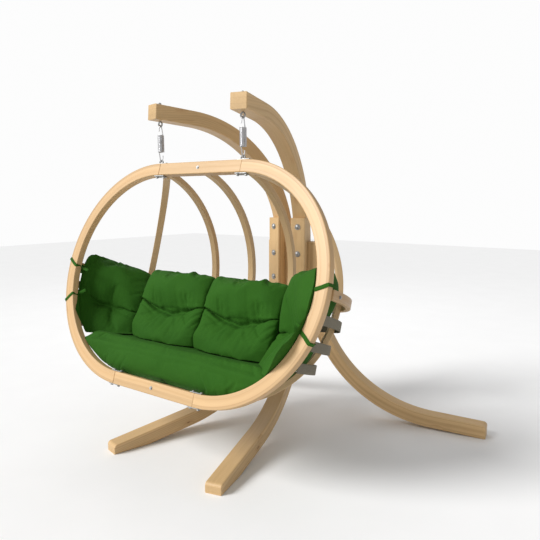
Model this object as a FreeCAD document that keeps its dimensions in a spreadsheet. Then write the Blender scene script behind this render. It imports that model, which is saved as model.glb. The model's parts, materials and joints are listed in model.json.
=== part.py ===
"""Double hanging swing seat on a bent-wood stand, in millimetres.

The object's frame: +X to the sitter's left side of the seat, +Y towards the back, +Z up, and the
floor at Z = 0. The two springs hang in the vertical plane through "hang_back".
"""
import FreeCAD, Part
import math
import os

Vector = FreeCAD.Vector
Rotation = FreeCAD.Rotation
Placement = FreeCAD.Placement
UP = Vector(0, 0, 1)

SIZES = {
    # where the springs hang
    "hang_back": -363.0,
    "hang_half_span": 285.4,
    "upper_pivot_height": 1749.0,
    "lower_pivot_height": 1572.0,
    # stand
    "beam_width": 90.0,
    "beam_depth": 78.0,
    "beam_easing": 6.0,
    "arm_splay": 14.2,
    "board_distance": 791.0,
    "board_depth": 55.0,
    "board_width": 94.0,
    "board_bottom": 705.0,
    "board_top": 1250.0,
    "butt_height": 980.0,
    "arm_radius": 779.0,
    "arm_arc_height": 1066.0,
    "arm_slope": 4.0,
    "arm_overhang": 46.0,
    "leg_radius": 922.0,
    "leg_arc_height": 953.0,
    "leg_slope": 7.9,
    "leg_reach": 364.0,
    "rear_angle": 10.0,
    "rear_radius": 850.0,
    "rear_arc_height": 862.0,
    "rear_slope": 2.5,
    "rear_reach": 1128.0,
    "rear_top": 1100.0,
    "foot_round": 22.0,
    "spacer_bottom": 660.0,
    "spacer_top": 1090.0,
    # basket
    "basket_tilt": 18.6,
    "basket_behind": 11.0,
    "basket_top": 1551.0,
    "ring_half_height": 600.0,
    "ring_face": 65.0,
    "ring_depth": 40.0,
    "ring_easing": 5.0,
    "hoop_radius": 583.0,
    "hoop_depth": 30.0,
    "hoop_width": 38.0,
    "hoop_lead": 18.0,
    "hoop_easing": 3.0,
    "corner_hoop_start": 47.0,
    "belt_depth": 24.0,
    "belt_width": 45.0,
    "belt_fit": 0.5,
    "strap_thick": 3.0,
    "strap_width": 45.0,
    # cushions
    "cushion_radius": 528.0,
    "seat_front": 16.0,
    "seat_length": 1320.0,
    "seat_deep": 425.0,
    "seat_bottom": 1120.0,
    "seat_slope": 6.0,
    "seat_block": 320.0,
    "seat_thick": 126.0,
    "pad_thick": 185.0,
    "pad_tall": 460.0,
    "back_pad_long": 490.0,
    "back_pad_behind": 172.0,
    "back_lean": 5.0,
    "side_pad_long": 440.0,
    "side_pad_across": 652.0,
    "side_pad_behind": 92.0,
    "side_turn": 34.0,
    "side_lean": 8.0,
    # steel
    "wire_thick": 5.0,
    "eye_wire": 8.0,
    "eye_radius": 12.5,
    "hook_radius": 7.2,
    "hook_length": 43.0,
    "coil_radius": 17.5,
    "bolt_thick": 12.0,
    "bolt_fit": 0.5,
    "head_radius": 15.0,
    "head_rise": 8.0,
    "washer_radius": 18.0,
    "washer_thick": 2.5,
    "plate_thick": 3.0,
    "plate_long": 70.0,
    "plate_wide": 30.0,
    "plate_bolt_reach": 26.0,
    "stud_radius": 6.5,
    "stud_rise": 5.0,
    "fit": 0.3,
}

doc = FreeCAD.newDocument("hanging_seat")
sheet = doc.addObject("Spreadsheet::Sheet", "sizes")
for row, (alias, number) in enumerate(SIZES.items(), start=1):
    sheet.set(f"A{row}", alias)
    sheet.set(f"B{row}", str(number))
    sheet.setAlias(f"B{row}", alias)
doc.recompute()

subparts = []


def size(alias):
    """A driving dimension, read back from the sheet."""
    return float(sheet.get(alias))


def keep(thing, label):
    """Give a finished sub-part its own label and put it on the list of parts."""
    thing.Label = label
    subparts.append(thing)
    return thing


def bind(thing, **formulas):
    """Bind properties to formulas of the sheet's cells, written as bare aliases."""
    for name, formula in formulas.items():
        words = formula.split()
        cells = [f"sizes.{word}" if word in SIZES else word for word in words]
        thing.setExpression(name, " ".join(cells))


def turned(point, degrees):
    """Turn a flat point about the origin."""
    angle = math.radians(degrees)
    return Vector(
        point.x * math.cos(angle) - point.y * math.sin(angle),
        point.x * math.sin(angle) + point.y * math.cos(angle),
        0,
    )


def flat(x, y):
    return Vector(x, y, 0)


# ---------------------------------------------------------------- building blocks

def outline_edges(stops):
    """Lines and arcs through the stops. A stop is a point, or (centre, point) for an arc to it."""
    edges = []
    here = stops[0]
    for stop in stops[1:] + [stops[0]]:
        if not isinstance(stop, tuple) and (stop - here).Length < 0.001:
            continue
        if isinstance(stop, tuple):
            centre, there = stop
            radius = (here - centre).Length
            middle = centre + ((here - centre) + (there - centre)).normalize() * radius
            edges.append(Part.Arc(here, middle, there))
        else:
            there = stop
            edges.append(Part.LineSegment(here, there))
        here = there
    return edges


def rim_edges(shape, axis):
    """Names of the edges round the two flat sides of a pad, which was padded along an axis."""
    names = []
    for number, edge in enumerate(shape.Edges, start=1):
        box = edge.BoundBox
        if (box.YLength if axis == "Y" else box.ZLength) < 0.01:
            names.append(f"Edge{number}")
    return names


def padded(label, plane, stops, length, easing, placement):
    """A body: the outline on one of its origin planes, padded both ways, with eased edges."""
    body = doc.addObject("PartDesign::Body", label)
    sketch = body.newObject("Sketcher::SketchObject", label + "_outline")
    support = [p for p in body.Origin.OriginFeatures if p.Role == plane][0]
    sketch.AttachmentSupport = [(support, "")]
    sketch.MapMode = "FlatFace"
    sketch.addGeometry(outline_edges(stops), False)
    pad = body.newObject("PartDesign::Pad", label + "_pad")
    pad.Profile = sketch
    pad.SideType = "Symmetric"
    bind(pad, Length=length)
    doc.recompute()
    fillet = body.newObject("PartDesign::Fillet", label + "_easing")
    fillet.Base = (pad, rim_edges(pad.Shape, "Y" if plane == "XZ_Plane" else "Z"))
    bind(fillet, Radius=easing)
    body.Placement = placement
    return body


def bent(label, inner, outer, width, easing, sweep, placement):
    """A body: a bar with rounded edges, bent in its X-Z plane about its origin.

    It spans the sweep, in degrees, equally above and below its X axis.
    """
    soft = size(easing)
    half = size(width) / 2
    low, high = inner + soft, outer - soft
    side = half - soft
    stops = [
        flat(low, -half), flat(high, -half),
        (flat(high, -side), flat(outer, -side)), flat(outer, side),
        (flat(high, side), flat(high, half)), flat(low, half),
        (flat(low, side), flat(inner, side)), flat(inner, -side),
        (flat(low, -side), flat(low, -half)),
    ]
    body = doc.addObject("PartDesign::Body", label)
    sketch = body.newObject("Sketcher::SketchObject", label + "_section")
    origin = {part.Role: part for part in body.Origin.OriginFeatures}
    sketch.AttachmentSupport = [(origin["XY_Plane"], "")]
    sketch.MapMode = "FlatFace"
    sketch.addGeometry(outline_edges(stops), False)
    turn = body.newObject("PartDesign::Revolution", label + "_bend")
    turn.Profile = sketch
    turn.ReferenceAxis = (origin["Y_Axis"], [""])
    turn.Midplane = True
    bind(turn, Angle=sweep)
    body.Placement = placement
    return body


def block(label, length, width, height, placement):
    """A box whose placement is that of its centre."""
    box = doc.addObject("Part::Box", label)
    bind(box, Length=length, Width=width, Height=height)
    doc.recompute()
    half = Vector(box.Length.Value / 2, box.Width.Value / 2, box.Height.Value / 2)
    box.Placement = placement.multiply(Placement(half * -1, Rotation()))
    return box


def rod(label, radius, height, placement):
    """A cylinder that starts at its placement and runs along its own Z."""
    cylinder = doc.addObject("Part::Cylinder", label)
    bind(cylinder, Radius=radius, Height=height)
    cylinder.Placement = placement
    return cylinder


def fused(label, pieces):
    union = doc.addObject("Part::MultiFuse", label)
    union.Shapes = pieces
    return union


def cut(label, base, tools):
    """The base less its tools."""
    result = doc.addObject("Part::Cut", label)
    result.Base = base
    result.Tool = tools[0] if len(tools) == 1 else fused(label + "_tools", tools)
    return result


def common(label, base, tool):
    shared = doc.addObject("Part::Common", label)
    shared.Base = base
    shared.Tool = tool
    return shared


# ---------------------------------------------------------------- frames of reference

def at(x, y, z, rotation=None):
    return Placement(Vector(x, y, z), rotation or Rotation())


def side_frame(side):
    """The upright plane of one side of the stand: X from the hanging point to the column."""
    turn = Rotation(UP, 90 + side * size("arm_splay"))
    return at(side * size("hang_half_span"), size("hang_back"), 0, turn)


def basket_frame(u=0.0, v=0.0, w=0.0, rotation=None):
    """The basket's frame: X along the seat, Y backwards from the ring, Z up in the ring's plane."""
    tilt = Rotation(Vector(1, 0, 0), -size("basket_tilt"))
    base = at(0, size("hang_back") + size("basket_behind"), size("basket_top"), tilt)
    return base.multiply(at(u, v, w, rotation))


ALONG_X = Rotation(Vector(0, 1, 0), 90)
ALONG_Y = Rotation(Vector(1, 0, 0), -90)
AGAINST_Y = Rotation(Vector(1, 0, 0), 90)
Y_Z_X = Rotation(Vector(1, 1, 1), 120)
SIDES = (("left", -1), ("right", 1))
column_front = size("board_distance") + size("board_depth")
column_back = column_front + size("beam_depth")
column_middle = (column_front + column_back) / 2
REAR_LEG_SHIFT = 8
rear_middle = column_middle + REAR_LEG_SHIFT
SPLICE_HEIGHTS = (1195.0, 1026.0, 871.0, 745.0)
REAR_HEIGHTS = (1070.0, 925.0, 800.0)
SHORT_LEG = 0.62
COIL_GAP = 3.0
BAND_DROPS = (("upper_band", 110.0), ("middle_band", 225.0), ("lower_band", 325.0))
STRAP_ANGLES = (8.0, 20.0, 32.0, 44.0)
INNER_PLATE_GAP = 1.5


# ---------------------------------------------------------------- stand

def arm_stops():
    """The arm: an upright column that bends forward over the seat."""
    depth = size("beam_depth")
    slope = size("arm_slope")
    radius = size("arm_radius")
    centre = flat(column_back - radius, size("arm_arc_height"))
    crown = centre + turned(flat(0, radius), -slope)
    inner_crown = centre + turned(flat(0, radius - depth), -slope)
    run = (crown.x + size("arm_overhang")) / math.cos(math.radians(slope))
    forward = turned(flat(-run, 0), -slope)
    return [
        flat(column_back, size("butt_height")),
        flat(column_back, centre.y),
        (centre, crown),
        crown + forward,
        inner_crown + forward,
        inner_crown,
        (centre, flat(column_front, centre.y)),
        flat(column_front, size("butt_height")),
    ]


def foot_stops(back, radius, arc_height, slope, tip, top):
    """A leg that curves from a column to a tapering toe planed flat on the floor.

    The toe points to smaller X. "tip" is its end, and "back" is the column's outer face.
    """
    depth = size("beam_depth")
    nose = size("foot_round")
    centre = flat(back - radius, arc_height)
    heel = centre + turned(flat(0, -radius), slope)
    inner_heel = centre + turned(flat(0, depth - radius), slope)
    rise = math.tan(math.radians(slope))
    planed = heel.x - heel.y / rise
    toe_top = inner_heel.y - (inner_heel.x - tip) * rise
    return [
        flat(tip, 0),
        flat(planed, 0),
        heel,
        (centre, flat(back, arc_height)),
        flat(back, top),
        flat(back - depth, top),
        flat(back - depth, arc_height),
        (centre, inner_heel),
        flat(tip + nose, toe_top + nose * rise),
        (flat(tip + nose, toe_top + nose * rise - nose), flat(tip, toe_top + nose * rise - nose)),
    ]


def column_holes(name, side, heights, front, length):
    """Clearance holes from front to back of a column."""
    holes = []
    for number, height in enumerate(heights):
        place = side_frame(side).multiply(at(front, 0, height, ALONG_X))
        hole = rod(f"{name}_hole_{number}", "( bolt_thick + bolt_fit ) / 2", length, place)
        holes.append(hole)
    return holes


def rear_frame(side):
    """The plane of a rear leg: X runs back from the toe to the side of the column."""
    angle = size("rear_angle")
    skew = math.radians(size("arm_splay") - angle)
    press = size("beam_width") / 2 * math.sin(skew)
    corner = side_frame(side).multVec(Vector(rear_middle, -side * size("beam_width") / 2, 0))
    outward = Vector(side * math.cos(math.radians(angle)), math.sin(math.radians(angle)), 0)
    turn = Rotation(UP, 180 + angle if side > 0 else -angle)
    return Placement(corner - outward * press, turn)


def rear_holes(name, side, heights):
    """Bolt holes through a rear leg into the column beside it."""
    holes = []
    for number, height in enumerate(heights):
        start = side_frame(side).multiply(
            at(column_middle, -side * 200, height, AGAINST_Y if side < 0 else ALONG_Y))
        holes.append(rod(f"{name}_side_hole_{number}", "( bolt_thick + bolt_fit ) / 2", "199", start))
    return holes


def build_side(name, side):
    """One arm, its front leg, rear leg and splice board."""
    frame = side_frame(side)
    arm = padded(f"{name}_arm_blank", "XZ_Plane", arm_stops(), "beam_width", "beam_easing", frame)
    toe = foot_stops(column_back, size("leg_radius"), size("leg_arc_height"), size("leg_slope"),
                     -size("leg_reach"), size("butt_height"))
    leg = padded(f"{name}_leg_blank", "XZ_Plane", toe, "beam_width", "beam_easing", frame)
    board_stops = [
        flat(size("board_distance"), size("board_bottom")),
        flat(column_front, size("board_bottom")),
        flat(column_front, size("board_top")),
        flat(size("board_distance"), size("board_top")),
    ]
    board = padded(f"{name}_board_blank", "XZ_Plane", board_stops, "board_width", "beam_easing", frame)
    upper, lower = SPLICE_HEIGHTS[:2], SPLICE_HEIGHTS[2:]
    start = size("board_distance") - 10
    arm_tools = column_holes(f"{name}_arm", side, upper, start, "200")
    arm_tools += rear_holes(f"{name}_arm", side, REAR_HEIGHTS[:1])
    eye_place = frame.multiply(at(0, 0, size("upper_pivot_height")))
    arm_tools.append(rod(f"{name}_eye_hole", "eye_wire / 2 + 0.25", "150", eye_place))
    keep(cut(f"{name}_arm_solid", arm, arm_tools), f"{name}_arm")
    leg_tools = column_holes(f"{name}_leg", side, lower, start, "200")
    leg_tools += rear_holes(f"{name}_leg", side, REAR_HEIGHTS[1:])
    keep(cut(f"{name}_leg_solid", leg, leg_tools), f"{name}_front_leg")
    board_tools = column_holes(f"{name}_board", side, SPLICE_HEIGHTS, start, "200") + [arm, leg]
    keep(cut(f"{name}_board_solid", board, board_tools), f"{name}_splice_board")

    rear_stops = foot_stops(0, size("rear_radius"), size("rear_arc_height"), size("rear_slope"),
                            -size("rear_reach"), size("rear_top"))
    rear = padded(f"{name}_rear_blank", "XZ_Plane", rear_stops, "beam_width", "beam_easing",
                  rear_frame(side))
    flush = frame.multiply(at(column_middle, 0, 900))
    rear_tools = [block(f"{name}_rear_trim", "400", "beam_width + 0.4", "700", flush)]
    rear_tools += rear_holes(f"{name}_rear", side, REAR_HEIGHTS)
    keep(cut(f"{name}_rear_solid", rear, rear_tools), f"{name}_rear_leg")


def build_spacer():
    """A wedge of wood between the two columns, which stand closer together at the back."""
    clear = 0.5
    corners = []
    for side in (-1, 1):
        for distance in (column_front + 4, column_back - 4):
            inner = Vector(distance, side * (size("beam_width") / 2 + clear), 0)
            corners.append(side_frame(side).multVec(inner))
    left_front, left_back, right_front, right_back = [flat(p.x, p.y) for p in corners]
    stops = [left_front, right_front, right_back, left_back]
    middle = (size("spacer_bottom") + size("spacer_top")) / 2
    spacer = padded("spacer_solid", "XY_Plane", stops, "spacer_top - spacer_bottom",
                    "hoop_easing", at(0, 0, middle))
    keep(spacer, "centre_spacer")


def domed_bolt(name, place, length):
    """A coach bolt. Its place is where the head meets the washer, with Z towards the thread."""
    rise = size("head_rise")
    ball = (size("head_radius") ** 2 + rise ** 2) / (2 * rise)
    dome = doc.addObject("Part::Sphere", name + "_dome")
    dome.Radius = ball
    dome.Angle1 = math.degrees(math.asin((ball - rise) / ball))
    dome.Angle2 = 90
    flip = Rotation(Vector(1, 0, 0), 180)
    dome.Placement = place.multiply(at(0, 0, ball - rise, flip))
    shank = rod(name + "_shank", "bolt_thick / 2", str(length), place)
    return fused(name, [dome, shank])


def washer(name, place):
    """A washer that starts at its place and grows along Z."""
    disc = rod(name + "_disc", "washer_radius", "washer_thick", place)
    hole = rod(name + "_bore", "( bolt_thick + bolt_fit ) / 2", "washer_thick", place)
    return cut(name, disc, [hole])


def nut(name, place, across=19.0, thick=10.0, bore="( bolt_thick + bolt_fit ) / 2"):
    """A six-sided nut that starts at its place and grows along Z."""
    prism = doc.addObject("Part::Prism", name + "_blank")
    prism.Polygon = 6
    prism.Circumradius = across / math.sqrt(3)
    prism.Height = thick
    prism.Placement = place
    hole = rod(name + "_bore", bore, str(thick), place)
    return cut(name, prism, [hole])


def build_stand_bolts():
    """Coach bolts through the splice boards and into the rear legs, with washers and nuts."""
    thick = size("washer_thick")
    front = size("board_distance")
    bolts, discs, nuts, rear_bolts, rear_discs = [], [], [], [], []
    for name, side in SIDES:
        frame = side_frame(side)
        for number, height in enumerate(SPLICE_HEIGHTS):
            tag = f"{name}_splice_{number}"
            head = frame.multiply(at(front - thick, 0, height, ALONG_X))
            bolts.append(domed_bolt(f"{tag}_bolt", head, column_back - front + 2 * thick + 12))
            discs.append(washer(f"{tag}_front_washer", head))
            tail = frame.multiply(at(column_back, 0, height, ALONG_X))
            discs.append(washer(f"{tag}_back_washer", tail))
            nut_place = frame.multiply(at(column_back + thick, 0, height, ALONG_X))
            nuts.append(nut(f"{tag}_nut", nut_place))
        for number, height in enumerate(REAR_HEIGHTS):
            tag = f"{name}_rear_{number}"
            turn = AGAINST_Y if side < 0 else ALONG_Y
            seat = size("beam_width") / 2 + size("beam_depth") + 7.5
            disc = frame.multiply(at(column_middle, -side * seat, height, turn))
            rear_discs.append(washer(f"{tag}_washer", disc))
            head = frame.multiply(at(column_middle, -side * seat, height, turn))
            rear_bolts.append(domed_bolt(f"{tag}_bolt", head, 125))
    keep(fused("splice_bolt_group", bolts), "splice_bolts")
    keep(fused("splice_washer_group", discs), "splice_washers")
    keep(fused("splice_nut_group", nuts), "splice_nuts")
    keep(fused("rear_bolt_group", rear_bolts), "rear_leg_bolts")
    keep(fused("rear_washer_group", rear_discs), "rear_leg_washers")


# ---------------------------------------------------------------- hanging gear

def ring_of_wire(name, radius, wire, place):
    """A closed ring of round wire in the plane of its placement's X and Y."""
    ring = doc.addObject("Part::Torus", name)
    bind(ring, Radius1=radius, Radius2=wire)
    ring.Placement = place
    return ring


def build_arm_eyes():
    """Eye bolts that hang under the arms, with a washer below and a nut on top."""
    rise = size("eye_radius")
    pivot = size("upper_pivot_height")
    slope = math.tan(math.radians(size("arm_slope")))
    crown = arm_stops()[2][1]
    top = crown.y + crown.x * slope + 0.5
    discs, nuts = [], []
    for name, side in SIDES:
        centre = at(side * size("hang_half_span"), size("hang_back"), 0)
        upright = centre.multiply(at(0, 0, pivot + rise, AGAINST_Y))
        eye = ring_of_wire(f"{name}_eye", "eye_radius", "eye_wire / 2", upright)
        stem_place = centre.multiply(at(0, 0, pivot + 2 * rise - 1))
        stem = rod(f"{name}_eye_stem", "eye_wire / 2", str(top + 16 - pivot - 2 * rise), stem_place)
        keep(fused(f"{name}_eye_solid", [eye, stem]), f"{name}_eye_bolt")
        tilt = Rotation(Vector(1, 0, 0), -size("arm_slope"))
        seat = centre.multiply(at(0, 0, top, tilt))
        disc = rod(f"{name}_eye_disc", "washer_radius", "washer_thick", seat)
        hole = rod(f"{name}_eye_disc_bore", "eye_wire / 2 + 0.5", "washer_thick", seat)
        discs.append(cut(f"{name}_eye_washer", disc, [hole]))
        nut_seat = centre.multiply(at(0, 0, top + size("washer_thick") + 1.2))
        nuts.append(nut(f"{name}_eye_nut", nut_seat, across=15.0, thick=8.0,
                        bore="eye_wire / 2 + 0.2"))
    keep(fused("eye_washer_group", discs), "eye_bolt_washers")
    keep(fused("eye_nut_group", nuts), "eye_bolt_nuts")


def wire_leg(name, start, end, place):
    """A straight run of spring wire between two points of its placement."""
    run = end - start
    turn = Rotation(UP, run)
    return rod(name, "wire_thick / 2", str(run.Length), place.multiply(Placement(start, turn)))


def hook(label, place):
    """An open V hook of spring wire: a bend round its pivot, a long leg and a short one."""
    bend = size("hook_radius")
    foot = size("coil_radius") - size("wire_thick") / 2
    length = size("hook_length")
    spread = math.degrees(math.atan2(foot, length))
    lean = spread - math.degrees(math.asin(bend / math.hypot(foot, length)))
    start = turned(flat(bend, 0), lean)
    touch = Vector(0, start.x, start.y)
    mirror = Vector(0, -start.x, start.y)
    short_end = mirror + (Vector(0, -foot, -length) - mirror) * SHORT_LEG
    crown = doc.addObject("Part::Torus", f"{label}_bend")
    bind(crown, Radius1="hook_radius", Radius2="wire_thick / 2")
    crown.Angle3 = 180 - 2 * lean
    crown.Placement = place.multiply(at(0, 0, 0, Rotation(Vector(1, 0, 0), lean).multiply(Y_Z_X)))
    legs = [
        wire_leg(f"{label}_long_leg", touch, Vector(0, foot, -length), place),
        wire_leg(f"{label}_short_leg", mirror, short_end, place),
    ]
    keep(fused(f"{label}_solid", [crown] + legs), label)


def build_springs():
    """Two extension springs, each a close coil between a V hook above and one below."""
    upper = size("upper_pivot_height")
    lower = size("lower_pivot_height")
    for name, side in SIDES:
        centre = at(side * size("hang_half_span"), size("hang_back"), 0)
        over = centre.multiply(at(0, 0, upper))
        under = centre.multiply(at(0, 0, lower, Rotation(Vector(1, 0, 0), 180)))
        hook(f"{name}_upper_hook", over)
        hook(f"{name}_lower_hook", under)
        coil_bottom = lower + size("hook_length") + COIL_GAP
        tall = f"upper_pivot_height - lower_pivot_height - 2 * hook_length - {2 * COIL_GAP}"
        foot = centre.multiply(at(0, 0, coil_bottom))
        coil = rod(f"{name}_coil", "coil_radius", tall, foot)
        bore = rod(f"{name}_coil_bore", "coil_radius - wire_thick", tall, foot)
        keep(cut(f"{name}_coil_solid", coil, [bore]), f"{name}_spring")


# ---------------------------------------------------------------- basket

def build_ring():
    """The front ring: two straight bars and two half-round ends, butted together."""
    outer = size("ring_half_height")
    for name, side in SIDES:
        turn = Rotation(UP, 0 if side > 0 else 180)
        place = basket_frame(side * (size("hang_half_span") + size("fit")), 0, -outer, turn)
        arc = bent(f"{name}_arc_solid", outer - size("ring_face"), outer, "ring_depth",
                   "ring_easing", "180", place)
        keep(arc, f"ring_{name}_arc")
    half = size("hang_half_span")
    face = size("ring_face") / 2
    for name, height in (("top", -face), ("bottom", face - 2 * outer)):
        stops = [flat(-half, -face), flat(half, -face), flat(half, face), flat(-half, face)]
        bar = padded(f"{name}_bar_solid", "XZ_Plane", stops, "ring_depth", "ring_easing",
                     basket_frame(0, 0, height))
        keep(bar, f"ring_{name}_bar")


def build_hoops():
    """Five bent hoops behind the ring: one in the middle and two from each joint."""
    behind = size("ring_depth") / 2 + size("fit")
    half = size("hang_half_span")
    outer = size("hoop_radius")
    inner = outer - size("hoop_depth")
    lead = size("hoop_lead")
    skipped = math.degrees(math.asin(size("corner_hoop_start") / inner))
    layout = (
        ("centre_hoop", 0, 90, 180),
        ("left_hoop", -half, 90, 180),
        ("right_hoop", half, 90, 180),
        ("left_corner_hoop", -half, 135, 180 - 2 * skipped),
        ("right_corner_hoop", half, 45, 180 - 2 * skipped),
    )
    for label, across, angle, sweep in layout:
        frame = basket_frame(across, behind, -size("ring_half_height"))
        middle = frame.multiply(at(0, lead, 0, Rotation(UP, angle)))
        hoop = bent(label + "_solid", inner, outer, "hoop_width", "hoop_easing", str(sweep), middle)
        if sweep < 180:
            keep(hoop, label)
            continue
        ends = []
        for tag, level in (("top", outer), ("foot", size("hoop_depth") - outer)):
            middle = at(0, lead / 2, level - size("hoop_depth") / 2)
            ends.append(block(f"{label}_{tag}_end", "hoop_width - 2 * hoop_easing", "hoop_lead",
                              "hoop_depth - 2 * hoop_easing", frame.multiply(middle)))
        keep(fused(label + "_whole", [hoop] + ends), label)


def band_stops(inner, depth, lead):
    """A flat band round the back of the hoops, from one side of the ring to the other."""
    half = size("hang_half_span")
    outer = inner + depth
    right = flat(half, lead)
    left = flat(-half, lead)
    return [
        flat(half + outer, 0), flat(half + outer, lead),
        (right, flat(half, lead + outer)), flat(-half, lead + outer),
        (left, flat(-half - outer, lead)), flat(-half - outer, 0),
        flat(-half - inner, 0), flat(-half - inner, lead),
        (left, flat(-half, lead + inner)), flat(half, lead + inner),
        (right, flat(half + inner, lead)), flat(half + inner, 0),
    ]


def build_bands():
    """The wooden belt at arm height and three webbing bands below it."""
    behind = size("ring_depth") / 2 + size("fit")
    middle = size("ring_half_height")
    reach = size("hoop_radius") + size("belt_fit")
    stops = band_stops(reach, size("belt_depth"), size("hoop_lead"))
    belt = padded("belt_solid", "XY_Plane", stops, "belt_width", "hoop_easing",
                  basket_frame(0, behind, -middle))
    keep(belt, "back_belt")
    for label, drop in BAND_DROPS:
        edge = drop - size("strap_width") / 2
        around = math.sqrt(size("hoop_radius") ** 2 - edge ** 2) + size("belt_fit")
        stops = band_stops(around, size("strap_thick"), size("hoop_lead"))
        band = padded(label + "_solid", "XY_Plane", stops, "strap_width", "strap_thick / 3",
                      basket_frame(0, behind, -middle - drop))
        keep(band, label)


def build_seat_straps():
    """Webbing straps under the seat, across the inside of the three back hoops."""
    centre = size("ring_depth") / 2 + size("hoop_lead")
    radius = size("hoop_radius") - size("hoop_depth") - size("strap_thick") / 2 - 0.5
    straps = []
    for number, angle in enumerate(STRAP_ANGLES):
        lean = math.radians(angle)
        back = centre + radius * math.sin(lean)
        down = -size("ring_half_height") - radius * math.cos(lean)
        place = basket_frame(0, back, down, Rotation(Vector(1, 0, 0), angle))
        straps.append(block(f"seat_strap_{number}", "2 * hang_half_span + hoop_width",
                            "strap_width", "strap_thick", place))
    keep(fused("seat_strap_group", straps), "seat_straps")


# ---------------------------------------------------------------- joint plates and bolts

def build_joint_plates():
    """Steel plates over and under the ring at its four joints."""
    outer = size("ring_half_height")
    face = size("ring_face")
    half_thick = size("plate_thick") / 2
    over = size("fit") + half_thick
    inside = face + INNER_PLATE_GAP + half_thick
    groups = {
        "upper": (("outside", over), ("inside", -inside)),
        "lower": (("inside", inside - 2 * outer), ("outside", -over - 2 * outer)),
    }
    for group, levels in groups.items():
        plates = []
        for name, side in SIDES:
            for tag, height in levels:
                place = basket_frame(side * size("hang_half_span"), 0, height)
                label = f"{name}_{group}_{tag}_plate"
                plates.append(block(label, "plate_long", "plate_wide", "plate_thick", place))
        keep(fused(f"{group}_plate_group", plates), f"{group}_joint_plates")


def build_joint_bolts():
    """Two bolts through each pair of joint plates: a head on top and a nut underneath."""
    outer = size("ring_half_height")
    face = size("ring_face")
    thick = size("plate_thick") + 0.1
    over = size("fit") + thick
    inside = face + INNER_PLATE_GAP + thick
    heads, nuts = [], []
    for name, side in SIDES:
        for end in (-1, 1):
            across = side * size("hang_half_span") + end * size("plate_bolt_reach")
            tag = f"{name}_{'in' if end < 0 else 'out'}"
            for row, height in enumerate((-inside, -over - 2 * outer)):
                place = basket_frame(across, 0, height, Rotation(Vector(1, 0, 0), 180))
                nuts.append(nut(f"{tag}_{row}_nut", place, across=13.0, thick=7.0, bore="4.2"))
            for row, height in enumerate((over, inside - 2 * outer)):
                place = basket_frame(across, 0, height)
                heads.append(rod(f"{tag}_{row}_head", "stud_radius", "stud_rise", place))
    keep(fused("joint_head_group", heads), "joint_bolt_heads")
    keep(fused("joint_nut_group", nuts), "joint_nuts")


def flat_bolt(name, place, washer_size=9.0, head_size=5.5):
    """A small bolt head on its washer, standing on its place along Z."""
    disc = rod(f"{name}_disc", str(washer_size), "1.5", place)
    head = rod(f"{name}_head", str(head_size), "5.5", place)
    return fused(name, [disc, head])


def build_face_bolts():
    """Bolts that hold the centre hoop to the ring, and the belt to the hoops and the ring."""
    front = -size("ring_depth") / 2 - 0.2
    face = size("ring_face") / 2
    tall = 2 * size("ring_half_height")
    heads = []
    for tag, level in (("top", -face), ("bottom", face - tall)):
        heads.append(flat_bolt(f"{tag}_face_bolt", basket_frame(0, front, level, AGAINST_Y)))
    keep(fused("face_bolt_group", heads), "ring_face_bolts")
    behind = size("ring_depth") / 2 + size("fit") + size("hoop_lead")
    reach = size("hoop_radius") + size("belt_fit") + size("belt_depth") + 0.2
    half = size("hang_half_span")
    level = -size("ring_half_height")
    spots = ((0, 90), (-half, 90), (half, 90), (-half, 135), (half, 45), (-half, 176), (half, 4))
    heads = []
    for number, (across, angle) in enumerate(spots):
        outward = Rotation(UP, angle).multiply(ALONG_X)
        away = turned(flat(reach, 0), angle)
        place = basket_frame(across + away.x, behind + away.y, level, outward)
        heads.append(flat_bolt(f"belt_bolt_{number}", place))
    keep(fused("belt_bolt_group", heads), "belt_bolts")


def build_ring_eyes():
    """Staple eyes on top of the ring, which the lower spring hooks carry."""
    rise = size("lower_pivot_height")
    base = size("fit") + size("plate_thick") + 0.1
    for name, side in SIDES:
        centre = at(side * size("hang_half_span"), size("hang_back"), 0)
        upright = centre.multiply(at(0, 0, rise - size("eye_radius"), AGAINST_Y))
        eye = ring_of_wire(f"{name}_staple_bow", "eye_radius", "eye_wire / 2", upright)
        cutter_place = basket_frame(side * size("hang_half_span"), 0, base - 30)
        cutter = block(f"{name}_staple_trim", "60", "60", "60", cutter_place)
        staple = cut(f"{name}_staple", eye, [cutter])
        keep(staple, f"{name}_hanging_eye")


# ---------------------------------------------------------------- cushions

def cushion_space(name):
    """The room inside the hoops: a cylinder along the seat with a round end at each side."""
    half = size("hang_half_span")
    back = size("ring_depth") / 2 + size("hoop_lead")
    level = -size("ring_half_height")
    barrel = rod(f"{name}_barrel", "cushion_radius", "2 * hang_half_span",
                 basket_frame(-half, back, level, ALONG_X))
    ends = []
    for tag, side in SIDES:
        ball = doc.addObject("Part::Sphere", f"{name}_{tag}_end")
        bind(ball, Radius="cushion_radius")
        ball.Placement = basket_frame(side * half, back, level)
        ends.append(ball)
    return fused(f"{name}_space", [barrel] + ends)


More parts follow.
